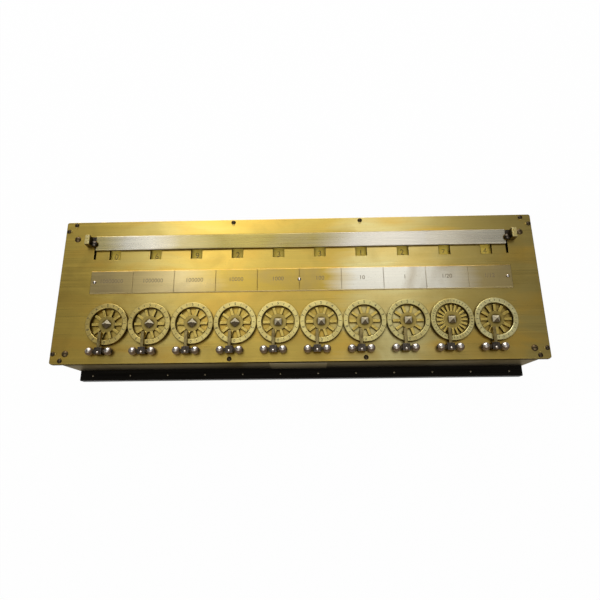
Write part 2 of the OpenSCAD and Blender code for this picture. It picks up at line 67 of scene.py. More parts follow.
# Sizes that divide two finishes on one node
NUT_LEVEL = 2.225 * MM
BOSS_DEPTH = 6.9 * MM
CLIP_HEAD = 4.8 * MM
BALL_SIZE = 8.0 * MM
BALL_LIFT = 0.2 * MM
SPINDLE_R = 1.8 * MM
# Depths below the front panel's top where the painted shadow under the plate's overhang starts and where it
# is full
OVERHANG_SHADE_START = 28.0 * MM
OVERHANG_SHADE_FULL = 17.0 * MM

# Sizes of the numbers and ticks, and how deep they lie
RING_MARK_INSET = 2.45 * MM
RING_NUMBER = 2.7 * MM
SMALL_RING_NUMBER = 1.8 * MM
TICK_LENGTH = 2.2 * MM
TICK_WIDTH = 0.35 * MM
RING_MARK_DEPTH = 0.04 * MM
DRUM_NUMBER = {10: 6.0 * MM, 12: 5.4 * MM, 20: 4.6 * MM}
DRUM_NUMBER_DEPTH = 0.05 * MM
DRUM_NUMBER_SHARE = 0.80
DRUM_CLEARANCE = 0.01 * MM
STRIP_NUMBER = 4.2 * MM
STRIP_NUMBER_DEPTH = 0.03 * MM
STRIP_NUMBER_RISE = 1.0 * MM

# Reach of the windows in front of the bar, and how far they end before its back
WINDOW_FRONT = 9.7 * MM
WINDOW_BACK = 2.3 * MM

# Profile of the rim under the plate's edge, as steps inward and down in millimetres
RIM_STEPS = ((0.15, 0.0), (0.15, 4.7), (0.35, 5.4), (0.80, 5.8), (1.30, 5.6), (1.50, 5.0), (1.50, 0.0))

# Brush lines along the case, and the marks of turning
BRUSH_X = (9.0, 1500.0, 1500.0)
TURNED = (500.0, 500.0, 500.0)

# Colours in linear light
BRASS = (0.82, 0.590, 0.125)
BRASS_LIGHT = (0.95, 0.710, 0.190)
BRASS_BROWN = (0.47, 0.330, 0.075)
BRASS_AMBER = (0.78, 0.500, 0.095)
BRASS_WARM = (0.82, 0.640, 0.200)
BRASS_PALE = (0.82, 0.700, 0.300)
BRASS_MID = (0.73, 0.525, 0.115)
BRASS_DIM = (0.62, 0.470, 0.140)
STRIP = (0.60, 0.465, 0.200)
STRIP_LIGHT = (0.96, 0.780, 0.380)
STRIP_SHEEN = (0.72, 0.570, 0.270)
STRIP_BROWN = (0.40, 0.305, 0.160)
STRIP_GOLD = (0.68, 0.475, 0.090)
STRIP_PALE = (0.86, 0.690, 0.330)
STRIP_GLARE_WHITE = (0.96, 0.920, 0.780)
PALE = (0.88, 0.700, 0.230)
PALE_LIGHT = (0.96, 0.840, 0.430)
PALE_BROWN = (0.56, 0.430, 0.140)
SILVER = (0.96, 0.910, 0.750)
SILVER_LIGHT = (0.98, 0.950, 0.820)
SILVER_BROWN = (0.62, 0.540, 0.400)
BAR_GOLD = (0.47, 0.375, 0.110)
BAR_DEEP = (0.33, 0.268, 0.082)
BAR_SAND = (0.50, 0.420, 0.205)
BAR_COOL = (0.70, 0.655, 0.560)
BAR_TAN = (0.84, 0.780, 0.600)
RING_LEFT = (0.66, 0.500, 0.150)
RING_GOLD = (0.97, 0.810, 0.300)
RING_GREY = (0.80, 0.700, 0.290)
RING_PALE = (0.97, 0.890, 0.460)
HUB = (0.47, 0.355, 0.105)
STEEL_LIGHT = (0.84, 0.820, 0.800)
STEEL_BROWN = (0.40, 0.330, 0.240)
DARK = (0.080, 0.064, 0.047)
DARK_LIGHT = (0.170, 0.145, 0.120)
DARK_BROWN = (0.050, 0.038, 0.024)
OLIVE = (0.33, 0.255, 0.105)
OLIVE_LIGHT = (0.48, 0.375, 0.150)
BALL = (0.95, 0.880, 0.790)
BALL_SHADE = (0.195, 0.125, 0.068)
NUT = (0.95, 0.850, 0.600)
PATINA_AND_SHADE_BROWN = (0.115, 0.074, 0.032)
RUST = (0.110, 0.075, 0.035)
RUST_LIGHT = (0.210, 0.150, 0.080)
BRONZE = (0.135, 0.114, 0.077)
BRONZE_LIGHT = (0.175, 0.151, 0.107)
BRONZE_BROWN = (0.055, 0.041, 0.022)
PLAQUE = (0.260, 0.225, 0.145)
EBONY = (0.0055, 0.0044, 0.0030)
EBONY_LIGHT = (0.012, 0.010, 0.007)
INK = (0.020, 0.017, 0.012)
DRUM = (0.98, 0.700, 0.100)
DRUM_LIGHT = (0.99, 0.770, 0.170)
DRUM_BROWN = (0.74, 0.500, 0.090)
DEEP_BROWN = (0.055, 0.038, 0.010)
SIDE_SHADE = (0.070, 0.050, 0.014)
GLANCE = (0.50, 0.42, 0.24)
DULL_GLANCE = (0.60, 0.54, 0.42)
FLOOR_GREY = (0.95, 0.95, 0.95)
WHITE = (1.0, 1.0, 1.0)

# Colours from the left end of the case to the right one, by their share of its length
# Painted reflection: the pale band on the plate stands for the lamps' glare
PLATE_TONES = (
    (0.08, BRASS), (0.20, BRASS_WARM), (0.34, BRASS), (0.49, BRASS_MID), (0.57, BRASS_MID),
    (0.64, BRASS_PALE), (0.71, BRASS_PALE), (0.83, BRASS_DIM), (0.95, BRASS_DIM)
)
# Painted reflection: the pale and white bands on the strip stand for the lamps' glare
STRIP_TONES = (
    (0.15, STRIP), (0.26, STRIP_PALE), (0.35, STRIP_GOLD), (0.56, STRIP_GOLD),
    (0.63, STRIP_GLARE_WHITE), (0.79, STRIP_GLARE_WHITE), (0.875, STRIP)
)
# Painted reflection: the silver and cool bands on the bar stand for the lamps' glare
BAR_TONES = (
    (0.08, BRASS_PALE), (0.13, SILVER), (0.19, SILVER), (0.25, BAR_SAND), (0.34, BAR_DEEP), (0.41, BAR_GOLD),
    (0.53, BAR_GOLD), (0.56, BAR_SAND), (0.62, BAR_COOL), (0.77, BAR_COOL), (0.84, SILVER), (0.95, BAR_TAN)
)
# Painted reflection: the bright gold on the middle rings stands for the lamps' glare
RING_TONES = (
    (0.08, RING_LEFT), (0.20, PALE), (0.42, RING_GOLD), (0.53, RING_GOLD), (0.68, RING_GREY),
    (0.80, RING_GREY), (0.92, RING_PALE)
)

# Half the width of the floor, and how much of its own light shows to the camera
HALF_FLOOR = 4.0
FLOOR_GLOW = 0.98

# Directions of the studio's lighter places
SKY_TOP = (0.0, 0.08, 0.997)
SKY_FRONT = (0.0, -0.64, 0.768)

# Lamps: name, place, size and brightness
LAMPS = (
    ("wall_lamp", (-0.20, 1.75, 0.62), (2.2, 0.7), 3.5),
    ("rear_lamp", (-0.20, 1.05, 1.20), (0.7, 0.5), 3.6),
    ("left_lamp", (-0.326, 0.44, 1.07), (0.16, 0.24), 1.5),
    ("left_halo", (-0.326, 0.44, 1.08), (0.36, 0.30), 0.8),
    ("right_lamp", (0.285, 0.47, 1.07), (0.20, 0.22), 1.1),
    ("right_halo", (0.285, 0.47, 1.08), (0.38, 0.28), 0.7),
)

# Camera above the front edge, looking down
CAMERA_AT = Vector((13.01, -149.87, 534.08)) * MM
ELEVATION = math.radians(73.494)
YAW = math.radians(-4.243)
ROLL = math.radians(-4.941)
SENSOR_WIDTH = 36.0
FOCAL_LENGTH = 29.178
NEAREST = 0.01


def rgba(colour):
    """Colour with full opacity."""
    return (*colour, 1.0)


def add(tree, kind, inputs=None, **settings):
    """Add a shader node, set it and fill or link its sockets."""
    made = tree.nodes.new(kind)
    for key, value in settings.items():
        setattr(made, key, value)
    for key, value in (inputs or {}).items():
        socket = made.inputs[key]
        if isinstance(value, bpy.types.NodeSocket):
            tree.links.new(value, socket)
        else:
            socket.default_value = value
    return made


def mix(tree, factor, first, second):
    """Blend two colours."""
    return add(tree, "ShaderNodeMix", {0: factor, 6: first, 7: second}, data_type="RGBA").outputs[2]


def spread(tree, value, low, high, to_low, to_high):
    """Carry a value from one range to another and hold it there."""
    sockets = {"Value": value, "From Min": low, "From Max": high, "To Min": to_low, "To Max": to_high}
    return add(tree, "ShaderNodeMapRange", sockets).outputs["Result"]


def noise(tree, vector, scale, detail=2.0, distortion=0.0):
    """Noise value at a vector."""
    sockets = {"Vector": vector, "Scale": scale, "Detail": detail, "Distortion": distortion}
    return add(tree, "ShaderNodeTexNoise", sockets).outputs["Fac"]


def stretched(tree, vector, scale):
    """Vector scaled by a different amount along each axis."""
    return add(tree, "ShaderNodeMapping", {"Vector": vector, "Scale": scale}).outputs["Vector"]


def object_place(tree):
    """Place of a point in its object's own frame."""
    return add(tree, "ShaderNodeTexCoord").outputs["Object"]


def part_of(tree, vector, axis):
    """One part of a vector."""
    return add(tree, "ShaderNodeSeparateXYZ", {0: vector}).outputs[axis]


def reckon(tree, operation, first, second):
    """Result of two values."""
    return add(tree, "ShaderNodeMath", {0: first, 1: second}, operation=operation).outputs[0]


def times(tree, first, second):
    """Product of two values."""
    return reckon(tree, "MULTIPLY", first, second)


def reckon_vector(tree, operation, inputs, output="Vector"):
    """Result of vectors."""
    return add(tree, "ShaderNodeVectorMath", inputs, operation=operation).outputs[output]


def bumped(tree, strength, depth, height, normal=None):
    """Normal of a finely uneven surface."""
    sockets = {"Strength": strength, "Distance": depth, "Height": height}
    if normal is not None:
        sockets["Normal"] = normal
    return add(tree, "ShaderNodeBump", sockets).outputs[0]


def tone_along_x(tree, place, tones, waver):
    """Colour that changes from the left end of the case to the right one, a little unevenly."""
    share = spread(tree, part_of(tree, place, "X"), cad_low.x, cad_high.x, 0.0, 1.0)
    streaky = noise(tree, stretched(tree, place, (9.0, 120.0, 120.0)), 1.0, 3.0)
    uneven = spread(tree, streaky, 0.2, 0.8, -waver, waver)
    made = add(tree, "ShaderNodeValToRGB", {0: reckon(tree, "ADD", share, uneven)})
    stops = made.color_ramp.elements
    for stop, (position, colour) in zip((stops[0], stops[1]), (tones[0], tones[-1])):
        stop.position, stop.color = position, rgba(colour)
    for position, colour in tones[1:-1]:
        stops.new(position).color = rgba(colour)
    return made.outputs["Color"]


def edge_mask(tree, radius):
    """Value that is high along the edges of a shape, and the normal of its rounded edges."""
    rounded = add(tree, "ShaderNodeBevel", {"Radius": radius}, samples=6).outputs["Normal"]
    plain = add(tree, "ShaderNodeNewGeometry").outputs["Normal"]
    dot = reckon_vector(tree, "DOT_PRODUCT", {0: rounded, 1: plain}, "Value")
    return spread(tree, dot, 0.99, 0.80, 0.0, 1.0), rounded


def slope_mask(tree, level, upright, toward=(0.0, 0.0, 1.0)):
    """Value that rises from faces at one slope to faces at another, by how far they face a direction."""
    normal = add(tree, "ShaderNodeNewGeometry").outputs["Normal"]
    facing = reckon_vector(tree, "DOT_PRODUCT", {0: normal, 1: toward}, "Value")
    return spread(tree, facing, level, upright, 0.0, 1.0)


def open_mask(tree, distance):
    """Value that falls in corners and under overhangs."""
    return add(tree, "ShaderNodeAmbientOcclusion", {"Distance": distance}, samples=6).outputs["AO"]


def new_tree(name):
    """New material with an empty node tree."""
    material = bpy.data.materials.new(name)
    material.use_nodes = True
    material.node_tree.nodes.clear()
    return material, material.node_tree


def close(tree, colour, roughness, normal, metallic, glance=WHITE, shine=0.5):
    """Add the surface shader, with its tint and strength at a glancing angle, and the output."""
    sockets = {"Base Color": colour, "Roughness": roughness, "Normal": normal, "Metallic": metallic}
    shader = add(tree, "ShaderNodeBsdfPrincipled", sockets)
    shader.inputs["Specular Tint"].default_value = rgba(glance)
    shader.inputs["Specular IOR Level"].default_value = shine
    add(tree, "ShaderNodeOutputMaterial", {"Surface": shader.outputs[0]})


def worked_metal(name, main, light, brown, rough, grain, metallic=1.0, wear_and_highlight=0.5, grime_and_shade=0.6, bump=0.25,
                 edge=0.35 * MM, sides=0.8, side_tone=SIDE_SHADE, slopes=(0.60, 0.20), cloud=24.0, clouds=0.65,
                 stain=None, tones=None, waver=0.05, streaks=(0.86, 1.03), overhang_shade=None, glance=GLANCE,
                 shine=0.5):
    """Metal with brush lines and uneven patina, painted shade on its steep sides (painted light where the
    side tone is pale), grime and painted shade in its corners, and worn edges with a painted highlight.
    """
    material, tree = new_tree(name)
    place = object_place(tree)
    lines = noise(tree, stretched(tree, place, grain), 1.0, 4.0)
    blotches = noise(tree, place, cloud, 4.0, 0.6)
    specks = noise(tree, place, 900.0, 2.0)
    if tones:
        tone = tone_along_x(tree, place, tones, waver)
        depth = spread(tree, lines, 0.30, 0.70, *streaks)
        colour = reckon_vector(tree, "SCALE", {0: tone, "Scale": depth})
    else:
        colour = mix(tree, spread(tree, lines, 0.35, 0.70, 0.0, 1.0), rgba(main), rgba(light))
    if stain:
        drifts = noise(tree, stretched(tree, place, (9.0, 26.0, 26.0)), 1.0, 3.0, 0.8)
        colour = mix(tree, spread(tree, drifts, 0.46, 0.64, 0.0, 0.8), colour, rgba(stain))
    colour = mix(tree, spread(tree, blotches, 0.46, 0.72, 0.0, clouds), colour, rgba(brown))
    colour = mix(tree, spread(tree, specks, 0.62, 0.78, 0.0, 0.45), colour, rgba(brown))
    # Painted shade: steep sides take the side tone, which is dark on most parts and pale on the strip, where
    # it is a painted highlight
    colour = mix(tree, times(tree, slope_mask(tree, *slopes), sides), colour, rgba(side_tone))
    # Painted shadow under the plate's overhang: the panel darkens towards its top
    if overhang_shade:
        overhang_shaded = spread(tree, part_of(tree, place, "Z"), *overhang_shade, 0.0, 0.85)
        colour = mix(tree, overhang_shaded, colour, rgba(DARK_BROWN))
    # Grime and painted shade: corners and places under overhangs darken
    open_air = open_mask(tree, 2.5 * MM)
    colour = mix(tree, spread(tree, open_air, 0.85, 0.30, 0.0, grime_and_shade), colour, rgba(DEEP_BROWN))
    # Worn edges, lightened also as a painted highlight
    edges, rounded = edge_mask(tree, edge)
    colour = mix(tree, times(tree, edges, wear_and_highlight), colour, rgba(light))
    roughness = spread(tree, lines, 0.25, 0.75, *rough)
    normal = bumped(tree, bump, 0.05 * MM, lines, rounded)
    close(tree, colour, roughness, normal, metallic, glance, shine)
    return material


def two_metals(name, first, second, axis, level, rough_first, rough_second):
    """Two finishes on one part, divided at a level along an axis."""
    material, tree = new_tree(name)
    place = object_place(tree)
    beyond = reckon(tree, "GREATER_THAN", part_of(tree, place, axis), level)
    lines = noise(tree, stretched(tree, place, (700.0, 260.0, 700.0)), 1.0, 3.0)
    blotches = noise(tree, place, 160.0, 3.0, 0.5)
    tints = []
    for main, light, brown in (first, second):
        tint = mix(tree, spread(tree, lines, 0.35, 0.70, 0.0, 1.0), rgba(main), rgba(light))
        tints.append(mix(tree, spread(tree, blotches, 0.50, 0.75, 0.0, 0.6), tint, rgba(brown)))
    colour = mix(tree, beyond, *tints)
    edges, rounded = edge_mask(tree, 0.3 * MM)
    worn = mix(tree, beyond, rgba(first[1]), rgba(second[1]))
    colour = mix(tree, spread(tree, edges, 0.0, 1.0, 0.0, 0.5), colour, worn)
    base = spread(tree, beyond, 0.0, 1.0, rough_first, rough_second)
    roughness = reckon(tree, "ADD", base, spread(tree, lines, 0.3, 0.7, -0.05, 0.08))
    normal = bumped(tree, 0.2, 0.03 * MM, lines, rounded)
    close(tree, colour, roughness, normal, 1.0, GLANCE)
    return material


def wheel_metal(name, nut_level):
    """Light spokes, a grey-brown hub and a steel nut above a level, with painted shade on steep sides, in
    corners, round the nut's foot and on the nut's front faces, and worn edges with a painted highlight.
    """
    material, tree = new_tree(name)
    coords = add(tree, "ShaderNodeTexCoord").outputs
    place = coords["Object"]
    on_nut = reckon(tree, "GREATER_THAN", part_of(tree, place, "Z"), nut_level)
    flat = reckon_vector(tree, "MULTIPLY", {0: coords["Generated"], 1: (1.0, 1.0, 0.0)})
    reach = reckon_vector(tree, "DISTANCE", {0: flat, 1: (0.5, 0.5, 0.0)}, "Value")
    on_hub = spread(tree, reach, 0.276, 0.270, 0.0, 1.0)
    lines = noise(tree, place, 700.0, 3.0, 0.4)
    blotches = noise(tree, place, 130.0, 3.0, 0.5)
    spokes = mix(tree, spread(tree, lines, 0.35, 0.70, 0.0, 1.0), rgba(BRASS), rgba(BRASS_WARM))
    spokes = mix(tree, spread(tree, blotches, 0.50, 0.75, 0.0, 0.7), spokes, rgba(BRASS_BROWN))
    hub = mix(tree, spread(tree, lines, 0.35, 0.70, 0.0, 0.6), rgba(HUB), rgba(BRASS_BROWN))
    # Painted shade: the hub darkens round the nut's foot
    hub = mix(tree, spread(tree, reach, 0.20, 0.14, 0.0, 0.75), hub, rgba(DEEP_BROWN))
    nut = mix(tree, spread(tree, blotches, 0.50, 0.75, 0.0, 0.5), rgba(NUT), rgba(STEEL_BROWN))
    # Painted shade: the nut's faces turned to the front darken
    facing = part_of(tree, coords["Normal"], "Y")
    nut = mix(tree, spread(tree, facing, 0.10, -0.40, 0.0, 0.9), nut, rgba(PATINA_AND_SHADE_BROWN))
    colour = mix(tree, on_hub, spokes, hub)
    # Painted shade on the spokes' steep sides
    colour = mix(tree, times(tree, slope_mask(tree, 0.60, 0.20), 0.9), colour, rgba(DEEP_BROWN))
    # Grime and painted shade: corners and the spaces between the spokes darken
    open_air = open_mask(tree, 2.0 * MM)
    colour = mix(tree, spread(tree, open_air, 0.75, 0.25, 0.0, 0.8), colour, rgba(DEEP_BROWN))
    # Worn edges of spokes and hub, lightened also as a painted highlight
    worn = spread(tree, edge_mask(tree, 0.25 * MM)[0], 0.0, 1.0, 0.0, 0.5)
    colour = mix(tree, worn, colour, rgba(PALE_LIGHT))
    colour = mix(tree, on_nut, colour, nut)
    metallic = spread(tree, on_nut, 0.0, 1.0, 1.0, 0.15)
    base = spread(tree, on_nut, 0.0, 1.0, 0.36, 0.24)
    roughness = reckon(tree, "ADD", base, spread(tree, lines, 0.3, 0.7, -0.05, 0.08))
    close(tree, colour, roughness, bumped(tree, 0.2, 0.03 * MM, lines), metallic, GLANCE)
    return material


def ball_metal(name, axis_y, axis_z, spindle):
    """Balls polished above, brown and dull on their front and undersides as painted shade, on a dark spindle
    along X.
    """
    material, tree = new_tree(name)
    place = object_place(tree)
    out = reckon_vector(tree, "SUBTRACT", {0: place, 1: (0.0, axis_y, axis_z)})
    out = reckon_vector(tree, "MULTIPLY", {0: out, 1: (0.0, 1.0, 1.0)})
    reach = reckon_vector(tree, "LENGTH", {0: out}, "Value")
    on_spindle = spread(tree, reach, 1.25 * spindle, 1.15 * spindle, 0.0, 1.0)
    specks = noise(tree, place, 600.0, 3.0, 0.4)
    shaded_below = slope_mask(tree, 0.92, 0.62, (-0.12, 0.33, 0.936))
    dark = reckon(tree, "MAXIMUM", shaded_below, on_spindle)
    colour = mix(tree, spread(tree, specks, 0.45, 0.80, 0.0, 0.5), rgba(BALL), rgba(STEEL_BROWN))
    # Painted shade: the front and underside, turned away from the lamps, are brown and dull
    colour = mix(tree, shaded_below, colour, rgba(BALL_SHADE))
    colour = mix(tree, on_spindle, colour, rgba(DARK_BROWN))
    roughness = spread(tree, specks, 0.30, 0.70, 0.18, 0.28)
    metallic = spread(tree, dark, 0.0, 1.0, 1.0, 0.1)
    close(tree, colour, roughness, bumped(tree, 0.1, 0.02 * MM, specks), metallic, GLANCE, 0.2)
    return material


def clip_metal(name, edge_x, edge_y):
    """Dark heads near the plate's edges, with golden brown tails."""
    material, tree = new_tree(name)
    place = object_place(tree)
    away = reckon_vector(tree, "ABSOLUTE", {0: place})
    past_x = reckon(tree, "GREATER_THAN", part_of(tree, away, "X"), edge_x)
    past_y = reckon(tree, "GREATER_THAN", part_of(tree, away, "Y"), edge_y)
    on_head = reckon(tree, "MAXIMUM", past_x, past_y)
    specks = noise(tree, place, 800.0, 3.0, 0.4)
    uneven = spread(tree, specks, 0.40, 0.75, 0.0, 1.0)
    head = mix(tree, uneven, rgba(DARK_BROWN), rgba(RUST))
    tail = mix(tree, uneven, rgba(PALE), rgba(BRASS_BROWN))
    colour = mix(tree, on_head, tail, head)
    edges, rounded = edge_mask(tree, 0.2 * MM)
    colour = mix(tree, times(tree, edges, 0.4), colour, rgba(STEEL_BROWN))
    roughness = spread(tree, specks, 0.30, 0.70, 0.26, 0.42)
    close(tree, colour, roughness, bumped(tree, 0.2, 0.03 * MM, specks, rounded), 0.8, GLANCE, 0.3)
    return material


def ebonised_wood(name):
    """Black stained wood with a fine grain and slightly rubbed edges."""
    material, tree = new_tree(name)
    place = object_place(tree)
    grain = noise(tree, stretched(tree, place, (14.0, 620.0, 620.0)), 1.0, 5.0, 0.3)
    pores = noise(tree, stretched(tree, place, (90.0, 2200.0, 2200.0)), 1.0, 2.0)
    clouds = noise(tree, place, 18.0, 3.0)
    colour = mix(tree, spread(tree, grain, 0.42, 0.72, 0.0, 1.0), rgba(EBONY), rgba(EBONY_LIGHT))
    colour = mix(tree, spread(tree, clouds, 0.45, 0.75, 0.0, 0.4), colour, rgba(EBONY_LIGHT))
    worn = spread(tree, edge_mask(tree, 0.8 * MM)[0], 0.0, 1.0, 0.0, 0.5)
    colour = mix(tree, worn, colour, rgba(BRONZE_LIGHT))
    roughness = spread(tree, grain, 0.30, 0.70, 0.34, 0.52)
    close(tree, colour, roughness, bumped(tree, 0.35, 0.12 * MM, pores), 0.0, shine=0.10)
    return material


def filled_lines(name, main, light):
    """Dark filling of engraved numbers, a little uneven."""
    material, tree = new_tree(name)
    uneven = noise(tree, object_place(tree), 1500.0, 3.0)
    colour = mix(tree, spread(tree, uneven, 0.40, 0.75, 0.0, 1.0), rgba(main), rgba(light))
    roughness = spread(tree, uneven, 0.30, 0.70, 0.45, 0.70)
    close(tree, colour, roughness, bumped(tree, 0.2, 0.02 * MM, uneven), 0.0)
    return material


# Boxes of the nodes that the finishes and numbers are set by
plate_low, plate_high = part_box("top_plate")
wheel_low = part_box("input_wheel_1")[0]
stop_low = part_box("stop_fingers")[0]
clip_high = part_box("edge_clips")[1]
spindle_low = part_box("stop_spindles")[0]
panel_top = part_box("front_panel")[1].z
ring_low, ring_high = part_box("dial_rings")
bar_low, bar_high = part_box("cover_bar")
strip_low, strip_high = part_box("label_strip")

# In these finishes, steep sides carry painted shade in their side tone, corners carry grime with painted
# shade, and edges carry wear with a painted highlight
plate_brass = worked_metal(
    "plate_brass", BRASS, BRASS_LIGHT, BRASS_BROWN, (0.26, 0.38), BRUSH_X, wear_and_highlight=0.7, edge=0.4 * MM,
    clouds=0.5, sides=1.0, side_tone=DEEP_BROWN, stain=BRASS_AMBER, tones=PLATE_TONES, streaks=(0.91, 1.02)
)
# The strip's sloped faces take a pale side tone: a painted highlight on its bevels and painted light in its
# grooves
strip_brass = worked_metal(
    "strip_brass", STRIP, STRIP_SHEEN, STRIP_BROWN, (0.26, 0.38), BRUSH_X, grime_and_shade=0.0, bump=0.12,
    edge=0.5 * MM, side_tone=STRIP_LIGHT, slopes=(0.95, 0.80), cloud=14.0, clouds=0.8,
    tones=STRIP_TONES, waver=0.02, streaks=(0.92, 1.02), glance=STRIP_LIGHT
)
bar_brass = worked_metal(
    "bar_brass", SILVER, SILVER_LIGHT, SILVER_BROWN, (0.24, 0.32), BRUSH_X, wear_and_highlight=0.9, bump=0.06,
    edge=0.5 * MM, cloud=12.0, clouds=0.6, tones=BAR_TONES, waver=0.02, streaks=(0.95, 1.02)
)
ring_silver = worked_metal(
    "ring_silver", PALE, PALE_LIGHT, PALE_BROWN, (0.34, 0.48), TURNED, metallic=0.9, wear_and_highlight=0.8, bump=0.15,
    edge=0.3 * MM, sides=0.95, side_tone=DEEP_BROWN, cloud=60.0, tones=RING_TONES, streaks=(0.90, 1.02)
)
grip_brass = worked_metal(
    "grip_brass", PALE, PALE_LIGHT, PALE_BROWN, (0.24, 0.36), TURNED, metallic=0.7, sides=0.95,
    side_tone=DEEP_BROWN
)
clip_brass = clip_metal("clip_brass", clip_high.x - CLIP_HEAD, clip_high.y - CLIP_HEAD)
# Near-black brass of the panels: a dark patina, darkened further as painted shade
panel_patina_and_shade = worked_metal(
    "panel_brass_patina_and_shade", BRONZE, BRONZE_LIGHT, BRONZE_BROWN, (0.34, 0.50), BRUSH_X, wear_and_highlight=0.7, sides=0.0,
    glance=DULL_GLANCE
)
front_panel_patina_and_shade = worked_metal(
    "front_panel_patina_and_shade", BRONZE, BRONZE_LIGHT, BRONZE_BROWN, (0.34, 0.50), BRUSH_X, wear_and_highlight=0.7, sides=0.0,
    overhang_shade=(panel_top - OVERHANG_SHADE_START, panel_top - OVERHANG_SHADE_FULL), glance=DULL_GLANCE
)
plaque_brass = worked_metal(
    "plaque_brass", PLAQUE, BRONZE_LIGHT, BRONZE, (0.30, 0.45), BRUSH_X, sides=0.0, glance=DULL_GLANCE
)
# Near-black rim that stands in for the shade under the plate's edge
rim_shade_black = worked_metal(
    "rim_shade_black", EBONY, EBONY_LIGHT, DARK_BROWN, (0.40, 0.55), BRUSH_X, metallic=0.0, wear_and_highlight=0.3, sides=0.0,
    shine=0.0
)
inner_brass = worked_metal("inner_brass", BRASS, BRASS_LIGHT, BRASS_BROWN, (0.30, 0.45), TURNED)
pin_steel = worked_metal(
    "pin_steel", BALL, STEEL_LIGHT, STEEL_BROWN, (0.20, 0.28), TURNED, wear_and_highlight=0.3, grime_and_shade=0.8, bump=0.05,
    side_tone=BALL_SHADE, slopes=(0.85, 0.45)
)
stop_balls = ball_metal(
    "ball_steel", spindle_low.y + BALL_SIZE / 2, plate_high.z + BALL_LIFT + BALL_SIZE / 2, SPINDLE_R
)
nail_steel = worked_metal("nail_steel", PLAQUE, STEEL_BROWN, BRONZE, (0.30, 0.45), TURNED)
block_steel = worked_metal(
    "block_steel", DARK, DARK_LIGHT, DARK_BROWN, (0.18, 0.30), TURNED, wear_and_highlight=0.6, grime_and_shade=0.5, bump=0.1
)
screw_steel = worked_metal(
    "screw_steel", RUST, RUST_LIGHT, DARK_BROWN, (0.30, 0.44), TURNED, metallic=0.8, wear_and_highlight=0.3
)
drum_face = worked_metal(
    "drum_face", DRUM, DRUM_LIGHT, DRUM_BROWN, (0.34, 0.46), TURNED, metallic=0.0, wear_and_highlight=0.2, grime_and_shade=0.0,
    bump=0.1, sides=0.0, cloud=90.0, shine=0.4
)
boss_steel = two_metals(
    "boss_steel", (DARK, DARK_LIGHT, DARK_BROWN), (OLIVE, OLIVE_LIGHT, PATINA_AND_SHADE_BROWN), "Y",
    stop_low.y + BOSS_DEPTH, 0.24, 0.32
)
wheel_brass = wheel_metal("wheel_brass", wheel_low.z + NUT_LEVEL)
ebony = ebonised_wood("ebonised_wood")
ink = filled_lines("number_filling", INK, DARK_BROWN)
drum_ink = filled_lines("drum_filling", DEEP_BROWN, DRUM_BROWN)
strip_ink = filled_lines("strip_filling", RUST_LIGHT, STRIP_BROWN)


def finish_node(node, material, bevel=0.0):
    """Give a node its finish, and round its sharp edges by a small width."""
    shown = NODES[node]
    shown.data.materials.clear()
    shown.data.materials.append(material)
    if bevel:
        weld = shown.modifiers.new("weld", "WELD")
        weld.merge_threshold = 0.01 * MM
        flat = shown.modifiers.new("flat", "DECIMATE")
        flat.decimate_type = "DISSOLVE"
        flat.angle_limit = math.radians(1.0)
        rounded = shown.modifiers.new("rounded", "BEVEL")
        rounded.width = bevel
        rounded.segments = 2
        rounded.limit_method = "ANGLE"
        rounded.angle_limit = math.radians(38.0)
        rounded.use_clamp_overlap = False
        even = shown.modifiers.new("even", "WEIGHTED_NORMAL")
        even.keep_sharp = True


# Finish of each node, and the width of its rounded edges
FINISHES = {
    "base_board": (ebony, 0.7 * MM),
    "base_nails": (nail_steel, 0.0),
    "front_panel": (front_panel_patina_and_shade, 0.3 * MM),
    "back_panel": (panel_patina_and_shade, 0.3 * MM),
    "end_panels": (panel_patina_and_shade, 0.3 * MM),
    "corner_posts": (inner_brass, 0.0),
    "front_plaque": (plaque_brass, 0.25 * MM),
    "top_plate": (plate_brass, 0.0),
    "plate_screws": (screw_steel, 0.0),
    "edge_clips": (clip_brass, 0.15 * MM),
    "label_strip": (strip_brass, 0.0),
    "label_pins": (pin_steel, 0.0),
    "dial_rings": (ring_silver, 0.0),
    "dial_bushes": (inner_brass, 0.0),
    "stop_fingers": (boss_steel, 0.2 * MM),
    "stop_spindles": (stop_balls, 0.0),
    "frame_plates": (inner_brass, 0.0),
    "click_springs": (pin_steel, 0.0),
    "cover_bar": (bar_brass, 0.2 * MM),
    "bar_end_blocks": (block_steel, 0.0),
    "bar_grips": (grip_brass, 0.2 * MM),
}
for node, (material, bevel) in FINISHES.items():
    finish_node(node, material, bevel)
for c in COLUMNS:
    finish_node(f"input_wheel_{c}", wheel_brass, 0.12 * MM)
    finish_node(f"crown_wheel_{c}", inner_brass)
    finish_node(f"number_drum_{c}", drum_face)
for c in COLUMNS[:-1]:
    finish_node(f"carry_lever_{c}", inner_brass)


